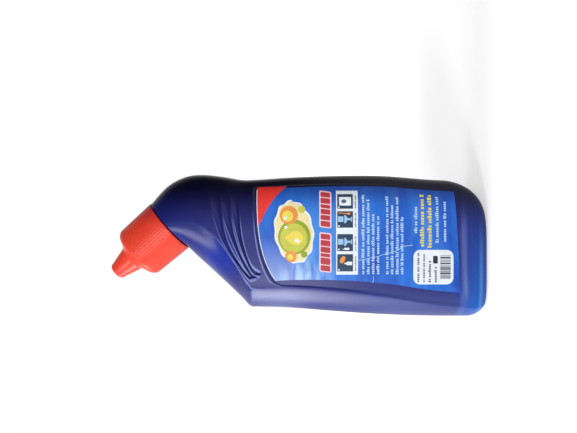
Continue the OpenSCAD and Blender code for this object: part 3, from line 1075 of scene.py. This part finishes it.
def lay_pictures(rng):
    """The strip of four small pictures with their captions."""
    lay("print_strip", [box(-13.0, 26.4, 62.2, 72.4)], 1, "white")
    squares = [(-11.5, -3.4), (-2.0, 6.0), (9.0, 16.7), (17.9, 24.8)]
    lay("print_squares", [box(x0, x1, 64.5, 71.9) for x0, x1 in squares], 2, "slate")
    captions = []
    for x0, x1 in squares:
        captions += line_of_marks(x0 + 0.3, x1 - 0.3, 63.0, 0.75, rng)
    lay("print_captions", captions, 2, "grey", cut=False)
    bowls = []
    for x in (2.4, 13.0):
        bowls.append(box(x - 1.3, x + 1.3, 69.0, 71.5))
        bowls.append([
            (x - 0.55, 65.6), (x + 0.55, 65.6), (x + 0.4, 67.0), (x + 1.9, 68.0),
            (x + 1.9, 68.6), (x - 1.9, 68.6), (x - 1.9, 68.0), (x - 0.4, 67.0),
        ])
        bowls.append(box(x - 1.1, x + 1.1, 64.9, 65.4))
    lay("print_bowls", bowls, 3, "sky")
    whites = [
        round_box(-8.6, -6.9, 64.9, 67.6, 0.4), box(-8.1, -7.4, 67.6, 68.6),
        round_box(-1.4, -0.4, 66.2, 68.6, 0.3), [(-1.1, 68.6), (-0.7, 68.6), (-1.3, 69.7)],
        round_box(19.4, 23.4, 65.4, 71.0, 0.3),
        disc(-10.7, 71.1, 0.4, count=12), disc(-1.2, 71.1, 0.4, count=12), disc(9.8, 71.1, 0.4, count=12),
        disc(18.6, 71.1, 0.35, count=12),
    ]
    lay("print_white_shapes", whites, 3, "white")
    warm = [
        disc(-6.0, 69.4, 1.8, 1.1, -28),
        disc(15.6, 66.6, 0.55, 0.9),
        stroke([(15.6, 67.4), (16.0, 71.3)], 0.4),
    ]
    lay("print_warm_shapes", warm, 4, "orange")
    lay("print_dot", [disc(21.4, 68.8, 0.9, 1.2)], 4, "grey")


def lay_small_print(rng):
    """Two paragraphs and the lines beside the panel, as plain marks."""
    pale, strong = [], []
    upper = ((59.2, 24.6), (56.8, 22.6), (54.5, 15.6), (52.2, 14.8))
    lower = ((47.9, 24.6), (45.6, 20.4), (43.2, 23.4), (40.9, 14.4))
    for z, x1 in upper + lower:
        pale += line_of_marks(-12.8, x1, z, 1.35, rng)
    for x0, x1, z in ((6.5, 19.6, 34.4), (2.0, 23.9, 24.4), (2.5, 22.7, 20.8)):
        pale += line_of_marks(x0, x1, z, 1.5, rng)
    for x0, x1, z in ((0.2, 25.2, 31.2), (-0.3, 25.8, 27.7)):
        strong += line_of_marks(x0, x1, z, 1.9, rng)
    lay("print_small_pale", pale, 1, "pale", cut=False)
    lay("print_small_yellow", strong, 1, "yellow", cut=False)


def lay_panel(rng):
    """The white panel with its marks and a pattern of bars."""
    lay("print_panel", [round_box(-17.6, -1.4, 17.4, 36.2, 3.2, 0, 10)], 1, "white")
    greys = []
    for z, x1, height in ((33.4, -2.4, 1.3), (30.8, -3.0, 1.1), (28.0, -6.4, 1.3), (25.2, -8.6, 1.3)):
        greys += line_of_marks(-16.6, x1, z, height, rng)
    lay("print_panel_marks", greys, 2, "grey", cut=False)
    bars = []
    x = -14.9
    while x < -3.8:
        width = rng.choice((0.22, 0.22, 0.4, 0.62))
        bars.append(box(x, x + width, 18.7, 23.6))
        x += width + rng.choice((0.22, 0.3, 0.45))
    lay("print_bars", bars + [round_box(-7.8, -4.2, 24.8, 27.0, 0.5)], 2, "black", cut=False)


def lay_wear():
    """Creases in the film, and its bare cut edge along the top."""
    upper = [
        (-6.3, 62.0), (-5.9, 59.5), (-5.2, 56.6), (-4.8, 53.8), (-3.7, 50.6), (-2.9, 47.6), (-2.1, 44.6),
    ]
    lower = [(-2.1, 44.6), (-0.4, 41.6), (0.5, 39.9), (0.6, 38.0), (0.9, 36.4)]
    creases = [
        stroke(upper, 0.22),
        stroke(lower, 0.26),
        stroke([(-16.9, 55.3), (-15.6, 54.9), (-13.9, 54.8)], 0.2),
    ]
    lay("label_creases", creases, 3, "pale")
    left, right = LABEL_LEFT[1] + INK_INSET, LABEL_RIGHT - INK_INSET
    edge = [label_top_point(mix(left, right, i / 60)) for i in range(61)]
    lay("label_cut_edge", [[(x, z - 0.32) for x, z in edge] + edge[::-1]], 3, "white")


def make_print():
    rng = random.Random(PRINT_SEED)
    lay_corner()
    lay_emblem()
    lay_headline()
    lay_pictures(rng)
    lay_small_print(rng)
    lay_panel(rng)
    lay_wear()


make_label()
make_print()


# Light, floor and camera


def lamp(name, place, target, size, power, colour=(1, 1, 1), glossy=True):
    """A round area lamp aimed at a target; places in metres, power in watts."""
    data = bpy.data.lights.new(name, "AREA")
    data.shape = "DISK"
    data.size = size
    data.energy = power
    data.color = colour
    obj = bpy.data.objects.new(name, data)
    bpy.context.scene.collection.objects.link(obj)
    obj.location = place
    obj.rotation_euler = (Vector(target) - Vector(place)).to_track_quat("-Z", "Y").to_euler()
    obj.visible_glossy = glossy


def make_world():
    """White to the eye and a weak even light; in reflections it darkens to the room's front and right."""
    world = bpy.data.worlds.new("studio")
    bpy.context.scene.world = world
    world.use_nodes = True
    n = Nodes(world.node_tree)
    side = n.add("ShaderNodeVectorMath", operation="DOT_PRODUCT")
    side.inputs[1].default_value = ROOM_BRIGHT_SIDE
    n.link(n.add("ShaderNodeTexCoord").outputs["Generated"], side.inputs[0])
    room = n.between(side.outputs["Value"], *ROOM_SPAN, ROOM_DARKEST, 1.0)
    plain = n.calculate("MAXIMUM", n.to_camera(), WORLD_LIGHT)
    strength = n.add("ShaderNodeMix")
    n.link(n.mirrored(), strength.inputs["Factor"])
    n.link(plain, strength.inputs["A"])
    n.link(room, strength.inputs["B"])
    background = n.tree.nodes["Background"]
    background.inputs["Color"].default_value = (1, 1, 1, 1)
    n.link(strength.outputs["Result"], background.inputs["Strength"])


def make_floor():
    """A white floor that keeps the shadow: its glow grows away from the object."""
    n = Surface("floor_white")
    n.set(Base_Color=(0.8, 0.8, 0.8, 1), Roughness=0.95, Specular_IOR_Level=0.1)
    glow = n.calculate("ADD", n.product(n.near((0, 0, 0), *FLOOR_SHADOW), -0.5), 1.0)
    seen = n.calculate("MAXIMUM", n.to_camera(), n.product(n.mirrored(), FLOOR_MIRRORED))
    n.set(Emission_Color=(1, 1, 1, 1), Emission_Strength=n.product(glow, seen))
    signs = ((-1, -1), (1, -1), (1, 1), (-1, 1))
    points = [(FLOOR_HALF * x, FLOOR_HALF * y, -FLOOR_BELOW) for x, y in signs]
    floor = new_object("floor", points, [(0, 1, 2, 3)], n.material, smooth=False)


def make_camera():
    """The photograph's view: level, a quarter turn on its side, with the bottle's foot to the right."""
    data = bpy.data.cameras.new("camera")
    data.sensor_width = SENSOR_MM
    data.lens = CAMERA_DISTANCE * PIXELS_PER_MM * SENSOR_MM / PHOTO_WIDTH
    data.clip_start = 0.01
    camera = bpy.data.objects.new("camera", data)
    bpy.context.scene.collection.objects.link(camera)
    right, up, back = Vector((0, 0, -1)), Vector((1, 0, 0)), Vector((0, -1, 0))
    matrix = Matrix((right, up, back)).transposed().to_4x4()
    matrix.translation = to_metres((CAMERA_X, -CAMERA_DISTANCE, CAMERA_Z))
    camera.matrix_world = matrix
    bpy.context.scene.camera = camera


make_world()
make_floor()
make_camera()
lamp("key", (-0.6, 0.0, 0.19), BODY, 0.3, 2.6, DAYLIGHT)
lamp("window", (-0.44, -0.47, 0.5), SHOULDER, 0.24, 2.0, DAYLIGHT)
lamp("room", (-0.27, -0.85, 0.17), BODY, 0.3, 2.6, DAYLIGHT)
lamp("front", (0.1, -0.8, 0.28), BODY, 0.5, 1.6, glossy=False)

bpy.context.scene.view_settings.view_transform = "Standard"
